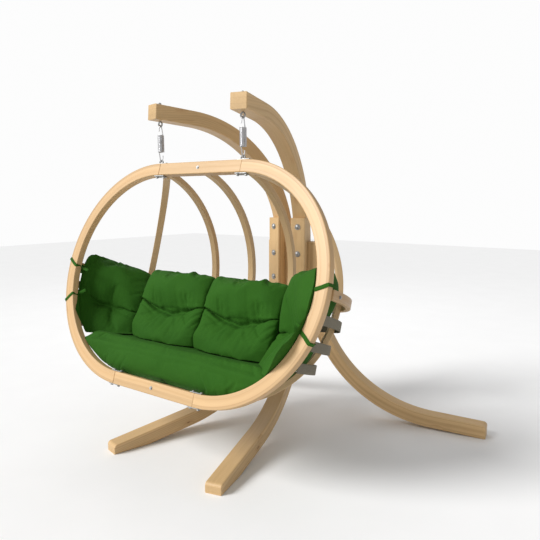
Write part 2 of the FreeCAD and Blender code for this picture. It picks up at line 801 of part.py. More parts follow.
def build_cushions():
    """One long seat cushion and four back cushions, as plain solids clear of each other."""
    clear = 8
    top = -size("seat_bottom") + size("seat_thick")
    level = Rotation(Vector(1, 0, 0), size("basket_tilt") - size("seat_slope"))
    edge = basket_frame(0, -size("seat_front"), top, level)
    middle = edge.multiply(at(0, size("seat_deep") / 2, -size("seat_block") / 2))
    slab = block("seat_slab", "seat_length", "seat_deep", "seat_block", middle)
    keep(common("seat_solid", cushion_space("seat"), slab), "seat_cushion")
    raised = edge.multiply(at(0, 300, clear / 2 - size("seat_block") / 2))
    seat_room = block("seat_room", "seat_length + 400", "900", f"seat_block + {clear}", raised)
    tall = size("pad_tall")
    thick = size("pad_thick")
    for name, side in SIDES:
        lean = Rotation(Vector(1, 0, 0), -size("back_lean"))
        across = side * (size("back_pad_long") / 2 + 3)
        foot = basket_frame(across, size("back_pad_behind"), top, lean)
        middle = foot.multiply(at(0, thick / 2, tall / 2))
        slab = block(f"{name}_back_slab", "back_pad_long", "pad_thick", "pad_tall", middle)
        whole = common(f"{name}_back_whole", cushion_space(f"{name}_back"), slab)
        keep(cut(f"{name}_back_solid", whole, [seat_room]), f"{name}_back_cushion")
        grown = block(f"{name}_back_room", f"back_pad_long + {clear}", f"pad_thick + {clear}",
                      "pad_tall + 200", middle)
        turn = Rotation(UP, -side * size("side_turn"))
        turn = turn.multiply(Rotation(Vector(1, 0, 0), -size("side_lean")))
        foot = basket_frame(side * size("side_pad_across"), size("side_pad_behind"), top, turn)
        middle = foot.multiply(at(0, thick / 2, tall / 2))
        slab = block(f"{name}_side_slab", "side_pad_long", "pad_thick", "pad_tall", middle)
        whole = common(f"{name}_side_whole", cushion_space(f"{name}_side"), slab)
        keep(cut(f"{name}_side_solid", whole, [seat_room, grown]), f"{name}_side_cushion")


def check_and_write():
    """Stop on any failed object or empty sub-part, then write each sub-part."""
    doc.recompute()
    for thing in doc.Objects:
        if "Invalid" in thing.State or "Error" in thing.State:
            raise RuntimeError(f"{thing.Label} failed: {thing.State}")
    for thing in subparts:
        if thing.Shape.isNull() or not thing.Shape.isValid() or thing.Shape.Volume <= 0:
            raise RuntimeError(f"{thing.Label} has no valid shape")
    os.makedirs("parts", exist_ok=True)
    for thing in subparts:
        thing.Shape.exportStep(f"parts/{thing.Label}.step")
        print(f"{thing.Label}: {len(thing.Shape.Solids)} solids, {thing.Shape.Volume / 1000:.1f} cm3")


for side_name, side_sign in SIDES:
    build_side(side_name, side_sign)
build_spacer()
build_stand_bolts()
build_arm_eyes()
build_springs()
build_ring()
build_hoops()
build_bands()
build_seat_straps()
build_joint_plates()
build_joint_bolts()
build_face_bolts()
build_ring_eyes()
build_cushions()
check_and_write()
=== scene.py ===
"""Studio scene of the double hanging swing seat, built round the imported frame, in metres."""
import json
import math

import bpy
import numpy as np
from mathutils import Matrix, Vector, noise


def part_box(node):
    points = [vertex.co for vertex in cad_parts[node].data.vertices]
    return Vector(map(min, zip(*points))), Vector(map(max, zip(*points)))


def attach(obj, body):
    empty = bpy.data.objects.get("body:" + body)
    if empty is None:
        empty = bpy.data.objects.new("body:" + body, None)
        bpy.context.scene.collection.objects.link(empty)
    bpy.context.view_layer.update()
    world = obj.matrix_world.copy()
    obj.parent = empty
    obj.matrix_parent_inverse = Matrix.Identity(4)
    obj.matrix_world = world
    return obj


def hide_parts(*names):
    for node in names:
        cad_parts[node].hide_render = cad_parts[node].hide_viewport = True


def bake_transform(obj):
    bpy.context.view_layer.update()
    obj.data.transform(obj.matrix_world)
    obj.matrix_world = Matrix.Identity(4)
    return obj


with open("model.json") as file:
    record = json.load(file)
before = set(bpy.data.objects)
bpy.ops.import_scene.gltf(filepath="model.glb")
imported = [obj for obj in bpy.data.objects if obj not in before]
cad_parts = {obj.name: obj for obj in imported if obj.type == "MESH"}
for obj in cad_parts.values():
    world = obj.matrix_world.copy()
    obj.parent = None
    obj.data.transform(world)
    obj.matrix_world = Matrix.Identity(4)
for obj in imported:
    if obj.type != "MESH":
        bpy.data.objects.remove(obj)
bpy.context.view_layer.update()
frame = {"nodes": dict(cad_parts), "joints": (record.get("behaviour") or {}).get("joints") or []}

# ---------------------------------------------------------------- places taken from the frame

SIDES = (("left", -1), ("right", 1))
JOINTS = {joint["name"]: joint for joint in frame["joints"]}
HANG_BACK = JOINTS["tilt"]["pos_m"][1]
UPPER_PIVOT = JOINTS["swing"]["pos_m"][2]
LOWER_PIVOT = JOINTS["tilt"]["pos_m"][2]
HANG_HALF = sum(corner.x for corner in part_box("right_spring")) / 2

# The basket's own frame has X along the seat, Y back and Z up in the plane of the front ring.
# Its origin is the middle of the ring's top edge.
BASKET_TILT = math.radians(18.6)
BASKET_BEHIND = 0.011
BASKET_TOP = 1.551
RING_OUTER = 0.6
RING_FACE = 0.065
RING_DEPTH = 0.040
HOOP_LEAD = 0.018
HOOP_START = RING_DEPTH / 2 + 0.0003
ROOM_RADIUS = 0.547  # of the space that the cushions have inside the hoops

# The bars of the stand: radii and heights in metres, splay, sweeps and angles in degrees.
ARM_SPLAY = 14.2
COLUMN_BACK = 0.924
ARM_RADIUS, ARM_CENTRE_Z, ARM_SWEEP = 0.779, 1.066, 94.0
LEG_RADIUS, LEG_CENTRE_Z, LEG_SWEEP = 0.922, 0.953, 82.1
REAR_RADIUS, REAR_CENTRE_Z, REAR_SWEEP = 0.850, 0.862, 87.5
REAR_ANGLE = 10.0
REAR_MIDDLE = 0.893
HALF_BEAM = 0.045


def shift(x, y, z):
    return Matrix.Translation((x, y, z))


def spin(degrees, axis):
    return Matrix.Rotation(math.radians(degrees), 4, axis)


BASKET = shift(0, HANG_BACK + BASKET_BEHIND, BASKET_TOP) @ Matrix.Rotation(-BASKET_TILT, 4, "X")


def side_frame(side):
    """The upright plane of one side of the stand: X from the hanging point to the column."""
    return shift(side * HANG_HALF, HANG_BACK, 0) @ spin(90 + side * ARM_SPLAY, "Z")


def rear_frame(side):
    """The plane of a rear leg: X runs back from the toe to the side of the column."""
    angle = math.radians(REAR_ANGLE)
    press = HALF_BEAM * math.sin(math.radians(ARM_SPLAY) - angle)
    corner = side_frame(side) @ Vector((REAR_MIDDLE, -side * HALF_BEAM, 0))
    outward = Vector((side * math.cos(angle), math.sin(angle), 0))
    turn = spin(180 + REAR_ANGLE if side > 0 else -REAR_ANGLE, "Z")
    return Matrix.Translation(corner - outward * press) @ turn


def placed(matrix, points):
    """Points, as an array of rows, carried through a matrix."""
    flat = np.array(matrix)
    return points @ flat[:3, :3].T + flat[:3, 3]


def mesh_points(mesh):
    points = np.zeros(len(mesh.vertices) * 3)
    mesh.vertices.foreach_get("co", points)
    return points.reshape(-1, 3)


def set_mesh_points(mesh, points):
    mesh.vertices.foreach_set("co", np.asarray(points, np.float32).ravel())
    mesh.update()


# ---------------------------------------------------------------- material building blocks

def add_node(tree, kind, inputs=None, **settings):
    """A shader node with its settings, and with its inputs set or linked."""
    made = tree.nodes.new(kind)
    for key, value in settings.items():
        setattr(made, key, value)
    for key, value in (inputs or {}).items():
        if isinstance(value, bpy.types.NodeSocket):
            tree.links.new(value, made.inputs[key])
        else:
            made.inputs[key].default_value = value
    return made


def maths(tree, operation, *values, clamp=False):
    inputs = dict(enumerate(values))
    return add_node(tree, "ShaderNodeMath", inputs, operation=operation, use_clamp=clamp).outputs[0]


def remap(tree, value, low, high, to_low=0.0, to_high=1.0, smooth=False):
    inputs = {"Value": value, "From Min": low, "From Max": high, "To Min": to_low, "To Max": to_high}
    kind = "SMOOTHSTEP" if smooth else "LINEAR"
    return add_node(tree, "ShaderNodeMapRange", inputs, interpolation_type=kind).outputs["Result"]


def scaled(tree, vector, scale):
    inputs = {0: vector, 1: scale}
    return add_node(tree, "ShaderNodeVectorMath", inputs, operation="MULTIPLY").outputs[0]


def noise_of(tree, vector, scale, detail=2.0, roughness=0.5):
    """A noise value of a vector that is first stretched by its own scale on each axis."""
    inputs = {"Vector": scaled(tree, vector, scale), "Scale": 1.0, "Detail": detail,
              "Roughness": roughness}
    return add_node(tree, "ShaderNodeTexNoise", inputs).outputs["Fac"]


def mixed(tree, factor, first, second, blend="MIX"):
    inputs = {0: factor, 6: first, 7: second}
    node = add_node(tree, "ShaderNodeMix", inputs, data_type="RGBA", blend_type=blend)
    return node.outputs[2]


def new_material(name):
    """An empty node material and its tree."""
    material = bpy.data.materials.new(name)
    material.use_nodes = True
    material.node_tree.nodes.clear()
    return material, material.node_tree


def finish_material(tree, shader_inputs, height, strength, distance):
    """A Principled shader with bump, linked to the output."""
    bump = add_node(tree, "ShaderNodeBump", {"Height": height, "Strength": strength,
                                             "Distance": distance})
    shader = add_node(tree, "ShaderNodeBsdfPrincipled",
                      {**shader_inputs, "Normal": bump.outputs["Normal"]})
    add_node(tree, "ShaderNodeOutputMaterial", {"Surface": shader.outputs[0]})


def attribute(tree, name):
    return add_node(tree, "ShaderNodeAttribute", attribute_name=name).outputs["Vector"]


# ---------------------------------------------------------------- materials

RING_STEP = 0.0062  # from one growth ring to the next


def wood(name, pale, dark, ply, knot_size):
    """Varnished pine. "grain" holds the way along the bar, its depth and its width in metres."""
    material, tree = new_material(name)
    grain = attribute(tree, "grain")
    depth, lateral = add_node(tree, "ShaderNodeSeparateXYZ", {0: grain}).outputs[1:3]

    ply_number = maths(tree, "FLOOR", maths(tree, "DIVIDE", depth, ply))
    ply_tone = add_node(tree, "ShaderNodeTexWhiteNoise", {"W": ply_number},
                        noise_dimensions="1D").outputs["Value"]
    glue = remap(tree, maths(tree, "PINGPONG", depth, ply / 2), 0.0, 0.0008, 1.0, 0.0)

    cells = add_node(tree, "ShaderNodeTexVoronoi",
                     {"Vector": scaled(tree, grain, (5.0, 12.0, 12.0)), "Scale": 1.0})
    near_knot = cells.outputs["Distance"]
    knot = remap(tree, near_knot, knot_size * 0.55, knot_size, 1.0, 0.0, smooth=True)
    halo = remap(tree, near_knot, knot_size, knot_size * 3.2, 1.0, 0.0, smooth=True)

    warp = noise_of(tree, grain, (1.5, 9.0, 9.0), detail=3.0)
    across = maths(tree, "MULTIPLY_ADD", warp, 0.045, depth)
    pith = maths(tree, "MULTIPLY_ADD", ply_tone, 0.05, across)
    sideways = maths(tree, "ADD", lateral, 0.061)
    distance = maths(tree, "SQRT", maths(tree, "ADD", maths(tree, "POWER", pith, 2.0),
                                         maths(tree, "POWER", sideways, 2.0)))
    bent = maths(tree, "MULTIPLY_ADD", halo, 0.006, distance)
    wave = maths(tree, "SINE", maths(tree, "MULTIPLY", bent, 2 * math.pi / RING_STEP))
    rings = maths(tree, "POWER", remap(tree, wave, -1.0, 1.0), 2.2)

    fibre = noise_of(tree, grain, (11.0, 620.0, 620.0), detail=3.0, roughness=0.6)
    streak = noise_of(tree, grain, (2.3, 85.0, 85.0), detail=2.0)
    patch = noise_of(tree, grain, (1.1, 6.0, 6.0), detail=2.0)

    figure = maths(tree, "MULTIPLY_ADD", rings, 0.38, maths(tree, "MULTIPLY", fibre, 0.42))
    figure = maths(tree, "MULTIPLY_ADD", streak, 0.45, figure)
    figure = maths(tree, "SUBTRACT", figure, 0.18, clamp=True)
    colour = mixed(tree, figure, (*pale, 1), (*dark, 1))
    tone = maths(tree, "MULTIPLY_ADD", ply_tone, 0.16, 0.90)
    tone = maths(tree, "MULTIPLY", tone, remap(tree, patch, 0.3, 0.7, 0.93, 1.06))
    tone_colour = add_node(tree, "ShaderNodeCombineColor", {0: tone, 1: tone, 2: tone}).outputs[0]
    colour = mixed(tree, 1.0, colour, tone_colour, "MULTIPLY")
    reddish = (dark[0] * 0.78, dark[1] * 0.52, dark[2] * 0.36, 1)
    colour = mixed(tree, maths(tree, "MULTIPLY", halo, 0.22), colour, reddish)
    colour = mixed(tree, maths(tree, "MULTIPLY", knot, 0.72), colour,
                   (dark[0] * 0.42, dark[1] * 0.26, dark[2] * 0.16, 1))
    colour = mixed(tree, maths(tree, "MULTIPLY", glue, 0.4), colour,
                   (dark[0] * 0.55, dark[1] * 0.42, dark[2] * 0.3, 1))
    roughness = remap(tree, maths(tree, "ADD", fibre, streak), 0.6, 1.4, 0.40, 0.62)
    height = maths(tree, "MULTIPLY_ADD", rings, 0.35, maths(tree, "MULTIPLY", fibre, 0.65))
    height = maths(tree, "SUBTRACT", height, maths(tree, "MULTIPLY", glue, 0.6))
    finish_material(tree, {"Base Color": colour, "Roughness": roughness, "Coat Weight": 0.12,
                           "Coat Roughness": 0.28, "Specular IOR Level": 0.4}, height, 0.45, 0.0006)
    return material


def steel(name, tint, roughness):
    """Plated steel with a fine mottle and a few dull patches."""
    material, tree = new_material(name)
    place = add_node(tree, "ShaderNodeTexCoord").outputs["Object"]
    spangle = add_node(tree, "ShaderNodeTexVoronoi",
                       {"Vector": scaled(tree, place, (420.0, 420.0, 420.0)), "Scale": 1.0})
    mottle = add_node(tree, "ShaderNodeSeparateColor", {0: spangle.outputs["Color"]}).outputs[0]
    dull = noise_of(tree, place, (65.0, 65.0, 65.0), detail=4.0, roughness=0.65)
    fine = noise_of(tree, place, (1500.0, 1500.0, 900.0), detail=2.0)
    bright = tuple(min(1.0, part * 1.12) for part in tint)
    colour = mixed(tree, mottle, (*tint, 1), (*bright, 1))
    stain = remap(tree, dull, 0.55, 0.72, 0.0, 0.55, smooth=True)
    colour = mixed(tree, stain, colour, (tint[0] * 0.55, tint[1] * 0.53, tint[2] * 0.5, 1))
    rough = maths(tree, "MULTIPLY_ADD", mottle, 0.10, remap(tree, dull, 0.4, 0.7, roughness,
                                                            roughness + 0.2))
    finish_material(tree, {"Base Color": colour, "Metallic": 1.0, "Roughness": rough},
                    fine, 0.25, 0.0002)
    return material


def woven(name, base, light, thread, sheen):
    """Plain-woven cloth. "cloth" holds the place along and across the threads in metres."""
    material, tree = new_material(name)
    cloth = attribute(tree, "cloth")
    along, across = add_node(tree, "ShaderNodeSeparateXYZ", {0: cloth}).outputs[:2]
    pitch = math.pi / thread
    warp = maths(tree, "ABSOLUTE", maths(tree, "SINE", maths(tree, "MULTIPLY", along, pitch)))
    weft = maths(tree, "ABSOLUTE", maths(tree, "SINE", maths(tree, "MULTIPLY", across, pitch)))
    weave = maths(tree, "MULTIPLY", warp, weft)
    slub_warp = noise_of(tree, cloth, (900.0, 28.0, 1.0), detail=2.0)
    slub_weft = noise_of(tree, cloth, (28.0, 900.0, 1.0), detail=2.0)
    slubs = maths(tree, "MULTIPLY", maths(tree, "ADD", slub_warp, slub_weft), 0.5)
    fade = noise_of(tree, cloth, (7.0, 7.0, 1.0), detail=4.0, roughness=0.6)
    crumple = noise_of(tree, cloth, (34.0, 48.0, 1.0), detail=3.0, roughness=0.55)
    factor = maths(tree, "MULTIPLY_ADD", weave, 0.30, maths(tree, "MULTIPLY", slubs, 0.5))
    factor = maths(tree, "MULTIPLY_ADD", fade, 0.45, factor)
    colour = mixed(tree, maths(tree, "SUBTRACT", factor, 0.18, clamp=True), (*base, 1), (*light, 1))
    pile = noise_of(tree, cloth, (2600.0, 2600.0, 1.0), detail=1.0)
    roughness = remap(tree, pile, 0.3, 0.7, 0.78, 0.95)
    height = maths(tree, "MULTIPLY_ADD", weave, 0.22, maths(tree, "MULTIPLY", slubs, 0.25))
    height = maths(tree, "MULTIPLY_ADD", crumple, 1.6, height)
    finish_material(tree, {"Base Color": colour, "Roughness": roughness, "Sheen Weight": sheen,
                           "Sheen Roughness": 0.45, "Sheen Tint": (*light, 1),
                           "Specular IOR Level": 0.25}, height, 0.5, 0.0016)
    return material


def floor_material():
    """Matt studio floor with a faint mottle."""
    material, tree = new_material("studio_floor")
    place = add_node(tree, "ShaderNodeTexCoord").outputs["Object"]
    mottle = noise_of(tree, place, (3.0, 3.0, 3.0), detail=3.0)
    colour = mixed(tree, mottle, (0.90, 0.90, 0.90, 1), (0.94, 0.94, 0.94, 1))
    finish_material(tree, {"Base Color": colour, "Roughness": 0.8}, mottle, 0.02, 0.001)
    return material


def wear(node, material):
    """Give a CAD node a material in place of its packed one."""
    mesh = frame["nodes"][node].data
    mesh.materials.clear()
    mesh.materials.append(material)


# ---------------------------------------------------------------- grain of the wooden parts

def along_bend(points, centre, start, end):
    """Way along and distance from the centre of flat points on a bar bent about that centre.

    The bar is bent between two angles, in degrees, and runs straight beyond them.
    """
    arm = points - np.array(centre)
    angle = np.arctan2(arm[:, 1], arm[:, 0])
    middle = math.radians((start + end) / 2)
    angle = (angle - middle + math.pi) % (2 * math.pi) - math.pi + middle
    bend = np.clip(angle, math.radians(start), math.radians(end))
    out = np.stack([np.cos(bend), np.sin(bend)], 1)
    forward = np.stack([-out[:, 1], out[:, 0]], 1)
    distance = (arm * out).sum(1)
    radius = np.median(distance)
    return radius * bend + (arm * forward).sum(1), distance


def bent_grain(points, matrix, centre, start, end):
    """Grain of a bar that is bent in the X-Z plane of a frame."""
    local = placed(matrix.inverted(), points)
    along, depth = along_bend(local[:, [0, 2]], centre, start, end)
    return np.stack([along, depth, local[:, 1]], 1)


def straight_grain(points, matrix, order):
    """Grain of a straight bar: which axes of a frame are its length, depth and width."""
    return placed(matrix.inverted(), points)[:, order]


def band_grain(points):
    """Grain of a band that goes round the back of the basket."""
    local = placed(BASKET.inverted(), points)
    beyond = np.abs(local[:, 0]) - HANG_HALF
    flat = np.stack([local[:, 1] - HOOP_START - HOOP_LEAD, beyond], 1)
    along, depth = along_bend(flat, (0, 0), 0, 90)
    along = np.sign(local[:, 0]) * (HANG_HALF + along)
    return np.stack([along, depth, local[:, 2]], 1)


def hoop_frame(side, angle):
    """Frame of a hoop's half circle, turned about the middle of its end of the ring."""
    return BASKET @ shift(side * HANG_HALF, HOOP_START + HOOP_LEAD, -RING_OUTER) @ spin(angle, "Z")


def set_vector_attribute(mesh, name, vectors):
    held = mesh.attributes.new(name, "FLOAT_VECTOR", "POINT")
    held.data.foreach_set("vector", np.asarray(vectors, np.float32).ravel())


def wooden_parts():
    """Every wooden node with the rule for its grain."""
    rules = {
        "centre_spacer": lambda p: straight_grain(p, Matrix(), [2, 1, 0]),
        "ring_top_bar": lambda p: straight_grain(p, BASKET, [0, 2, 1]),
        "ring_bottom_bar": lambda p: straight_grain(p, BASKET, [0, 2, 1]),
        "back_belt": band_grain,
        "centre_hoop": lambda p: bent_grain(p, hoop_frame(0, 90), (0, 0), -90, 90),
    }
    for name, side in SIDES:
        upright = side_frame(side)
        rear = rear_frame(side)
        end = BASKET @ shift(side * HANG_HALF, 0, -RING_OUTER) @ spin(0 if side > 0 else 180, "Z")
        back_hoop = hoop_frame(side, 90)
        corner_hoop = hoop_frame(side, 90 - side * 45)
        arm_centre = (COLUMN_BACK - ARM_RADIUS, ARM_CENTRE_Z)
        leg_centre = (COLUMN_BACK - LEG_RADIUS, LEG_CENTRE_Z)
        rear_centre = (-REAR_RADIUS, REAR_CENTRE_Z)
        bends = {
            f"{name}_arm": (upright, arm_centre, 0, ARM_SWEEP),
            f"{name}_front_leg": (upright, leg_centre, -LEG_SWEEP, 0),
            f"{name}_rear_leg": (rear, rear_centre, -REAR_SWEEP, 0),
            f"ring_{name}_arc": (end, (0, 0), -90, 90),
            f"{name}_hoop": (back_hoop, (0, 0), -90, 90),
            f"{name}_corner_hoop": (corner_hoop, (0, 0), -90, 90),
        }
        for node, bend in bends.items():
            rules[node] = lambda p, bend=bend: bent_grain(p, *bend)
        rules[f"{name}_splice_board"] = lambda p, f=upright: straight_grain(p, f, [2, 0, 1])
    return rules


def finish_wood():
    """Lay the grain along each wooden part, and varnish it."""
    ring = wood("pale_ring_wood", (0.67, 0.45, 0.23), (0.55, 0.335, 0.15), 0.0325, 0.05)
    hoops = wood("hoop_wood", (0.61, 0.425, 0.225), (0.47, 0.30, 0.14), 0.0075, 0.05)
    stand = wood("stand_wood", (0.69, 0.475, 0.24), (0.47, 0.29, 0.125), 0.026, 0.085)
    for number, (node, rule) in enumerate(sorted(wooden_parts().items())):
        mesh = frame["nodes"][node].data
        grain = rule(mesh_points(mesh)) + np.array([1.7, 0.0, 0.31]) * number
        set_vector_attribute(mesh, "grain", grain)
        if node.startswith("ring_"):
            wear(node, ring)
        elif "hoop" in node or "belt" in node:
            wear(node, hoops)
        else:
            wear(node, stand)


def finish_webbing():
    """Khaki webbing on the bands and the straps under the seat."""
    webbing = woven("khaki_webbing", (0.12, 0.105, 0.075), (0.26, 0.235, 0.18), 0.0022, 0.15)
    for node in ("upper_band", "middle_band", "lower_band"):
        mesh = frame["nodes"][node].data
        set_vector_attribute(mesh, "cloth", band_grain(mesh_points(mesh))[:, [0, 2, 1]])
        wear(node, webbing)
    mesh = frame["nodes"]["seat_straps"].data
    set_vector_attribute(mesh, "cloth", straight_grain(mesh_points(mesh), BASKET, [0, 1, 2]))
    wear("seat_straps", webbing)


def finish_steel(zinc, spring_wire):
    """Wire for the hooks, zinc for the other metal parts."""
    for node in frame["nodes"]:
        if node.endswith("_hook"):
            wear(node, spring_wire)
        elif any(word in node for word in ("bolt", "washer", "nut", "eye", "plate")):
            wear(node, zinc)


# ---------------------------------------------------------------- new pieces

def new_piece(name, points, faces, material):
    """A new smooth-shaded object."""
    mesh = bpy.data.meshes.new(name)
    mesh.from_pydata([tuple(point) for point in points], [], [tuple(face) for face in faces])
    mesh.update()
    mesh.materials.append(material)
    piece = bpy.data.objects.new(name, mesh)
    bpy.context.scene.collection.objects.link(piece)
    mesh.polygons.foreach_set("use_smooth", [True] * len(mesh.polygons))
    return piece


def swept(name, path, sections, material, closed=False):
    """A tube whose cross-section at each point of the path is given as a ring of points."""
    rings = len(path)
    count = sections.shape[1]
    points = (path[:, None, :] + sections).reshape(-1, 3)
    faces = []
    for ring in range(rings if closed else rings - 1):
        here, there = ring * count, (ring + 1) % rings * count
        for spot in range(count):
            after = (spot + 1) % count
            faces.append((here + spot, here + after, there + after, there + spot))
    if not closed:
        faces.append(tuple(range(count))[::-1])
        faces.append(tuple(range((rings - 1) * count, rings * count)))
    return new_piece(name, points, faces, material)


def tangents(path, closed=False):
    """Unit directions along a path."""
    if closed:
        ahead = np.roll(path, -1, 0) - np.roll(path, 1, 0)
    else:
        ahead = np.gradient(path, axis=0)
    return ahead / np.linalg.norm(ahead, axis=1)[:, None]


WIRE_SIDES = 10


def wire_sections(path, radius, outward):
    """Round sections square to a path. "outward" is a direction at each point, off the path."""
    ahead = tangents(path)
    side = outward - (outward * ahead).sum(1)[:, None] * ahead
    side /= np.linalg.norm(side, axis=1)[:, None]
    other = np.cross(ahead, side)
    turn = np.linspace(0, 2 * math.pi, WIRE_SIDES, endpoint=False)
    return radius * (np.cos(turn)[None, :, None] * side[:, None, :]
                     + np.sin(turn)[None, :, None] * other[:, None, :])


def ribbon_sections(path, width, thick, face, closed=False):
    """Flat sections with eased edges. "face" is the direction that the ribbon's flat side looks."""
    ahead = tangents(path, closed)
    across = np.cross(ahead, face)
    across /= np.linalg.norm(across, axis=1)[:, None]
    up = np.cross(across, ahead)
    half, deep = width / 2, thick / 2
    outline = ((-half, 0), (-half * 0.9, deep), (0, deep * 1.1), (half * 0.9, deep), (half, 0),
               (half * 0.9, -deep), (0, -deep * 1.1), (-half * 0.9, -deep))
    return np.stack([a * across + b * up for a, b in outline], 1)


# ---------------------------------------------------------------- springs

COIL_MIDDLE_RADIUS = 0.015
WIRE_RADIUS = 0.0025
COIL_TURNS = 17.5
STEPS_PER_TURN = 28
HOOK_LENGTH = 0.043


def build_springs(spring_wire):
    """Close coils of spring wire between the hooks."""
    top = UPPER_PIVOT - HOOK_LENGTH
    bottom = LOWER_PIVOT + HOOK_LENGTH
    steps = int(COIL_TURNS * STEPS_PER_TURN) + 1
    turn = np.linspace(0, COIL_TURNS, steps)
    angle = math.pi / 2 + 2 * math.pi * turn
    for name, side in SIDES:
        axis = np.array([side * HANG_HALF, HANG_BACK, 0.0])
        outward = np.stack([np.cos(angle), np.sin(angle), np.zeros(steps)], 1)
        path = axis + outward * COIL_MIDDLE_RADIUS
        path[:, 2] = np.linspace(top, bottom, steps)
        sections = wire_sections(path, WIRE_RADIUS, outward)
        coil = swept(f"{name}_spring_coil", path, sections, spring_wire)
        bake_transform(coil)
        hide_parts(f"{name}_spring")


# ---------------------------------------------------------------- cushions

SEAT_TOP = -0.994  # height in the basket's frame
SEAT_EDGE = BASKET @ shift(0, -0.016, SEAT_TOP) @ spin(12.6, "X")
SEAT_CLEAR = 0.0045
SEAT_VOXEL = 0.008
SEAT_CAP = 0.028
SEAT_GROWTH = 0.005
SEAT_CROWN = 0.030
SEAT_STRETCH = 1.05
POUCH_CAP = 0.10
BACK_PAD_GAP = 0.0015
BACK_PAD_END = 0.4915
SIDE_PAD_START = 0.495
SEAM_SOFT = 0.003
SIDE_PADS = {
    "left": {"size": (0.540, 0.610, 0.20), "turn": 34, "across": 0.685, "behind": 0.060,
             "foot": -0.110},
    "right": {"size": (0.540, 0.640, 0.25), "turn": 42, "across": 0.578, "behind": 0.025,
              "foot": -0.100},
}
GATHER_HEIGHT = 0.0035
CRUMPLE_HEIGHT = 0.004
CORNER_ROUND = 0.07
SIM_FRAMES = 20
SIM_PRESSURE = 4.0


def inflate(piece, cap, bending=0.4, pins=()):
    """Blow a closed mesh up with Cloth and keep the result. No point moves further than cap."""
    start = mesh_points(piece.data)
    if len(pins):
        group = piece.vertex_groups.new(name="pins")
        group.add([int(pin) for pin in pins], 1.0, "REPLACE")
    cloth = piece.modifiers.new("inflate", "CLOTH")
    settings = cloth.settings
    settings.quality = 6
    settings.mass = 0.3
    settings.tension_stiffness = 18
    settings.compression_stiffness = 18
    settings.shear_stiffness = 6
    settings.bending_stiffness = bending
    settings.use_pressure = True
    settings.uniform_pressure_force = SIM_PRESSURE
    settings.effector_weights.gravity = 0
    if len(pins):
        settings.vertex_group_mass = "pins"
    cloth.collision_settings.use_collision = False
    cloth.point_cache.frame_start = 1
    cloth.point_cache.frame_end = SIM_FRAMES
    scene = bpy.context.scene
    for number in range(1, SIM_FRAMES + 1):
        scene.frame_set(number)
    posed = piece.evaluated_get(bpy.context.evaluated_depsgraph_get())
    moved = mesh_points(posed.data) - start
    reach = np.linalg.norm(moved, axis=1)
    limit = np.minimum(1.0, cap / np.maximum(reach, 1e-9))
    piece.modifiers.remove(cloth)
    piece.vertex_groups.clear()
    scene.frame_set(1)
    set_mesh_points(piece.data, start + moved * limit[:, None])


def smooth_max(value, low, soft):
    """value, eased so that it doesn't fall below low."""
    over = (value - low) / soft
    return low + soft * np.where(over > 20, over, np.log1p(np.exp(np.minimum(over, 20))))


def inside_hoops(points):
    """Points in the basket's frame, pulled in to the room inside the hoops."""
    centre = np.stack([np.clip(points[:, 0], -HANG_HALF, HANG_HALF),
                       np.full(len(points), HOOP_START + HOOP_LEAD),
                       np.full(len(points), -RING_OUTER)], 1)
    arm = points - centre
    reach = np.linalg.norm(arm, axis=1)
    held = ROOM_RADIUS - smooth_max(ROOM_RADIUS - reach, 0.0, 0.006)
    return centre + arm * (np.minimum(held, reach) / np.maximum(reach, 1e-9))[:, None]


def inside_ring(points):
    """Points in the basket's frame, pulled in from the ring's inner face."""
    across = points[:, 0] - np.clip(points[:, 0], -HANG_HALF, HANG_HALF)
    up = points[:, 2] + RING_OUTER
    reach = np.hypot(across, up)
    behind = np.maximum(points[:, 1] - RING_DEPTH / 2 - 0.002, 0)
    limit = RING_OUTER - RING_FACE - 0.002 + 0.8 * behind
    held = limit - smooth_max(limit - reach, 0.0, 0.003)
    shrink = np.minimum(held, reach) / np.maximum(reach, 1e-9)
    moved = points.copy()
    moved[:, 0] += across * (shrink - 1)
    moved[:, 2] += up * (shrink - 1)
    return moved


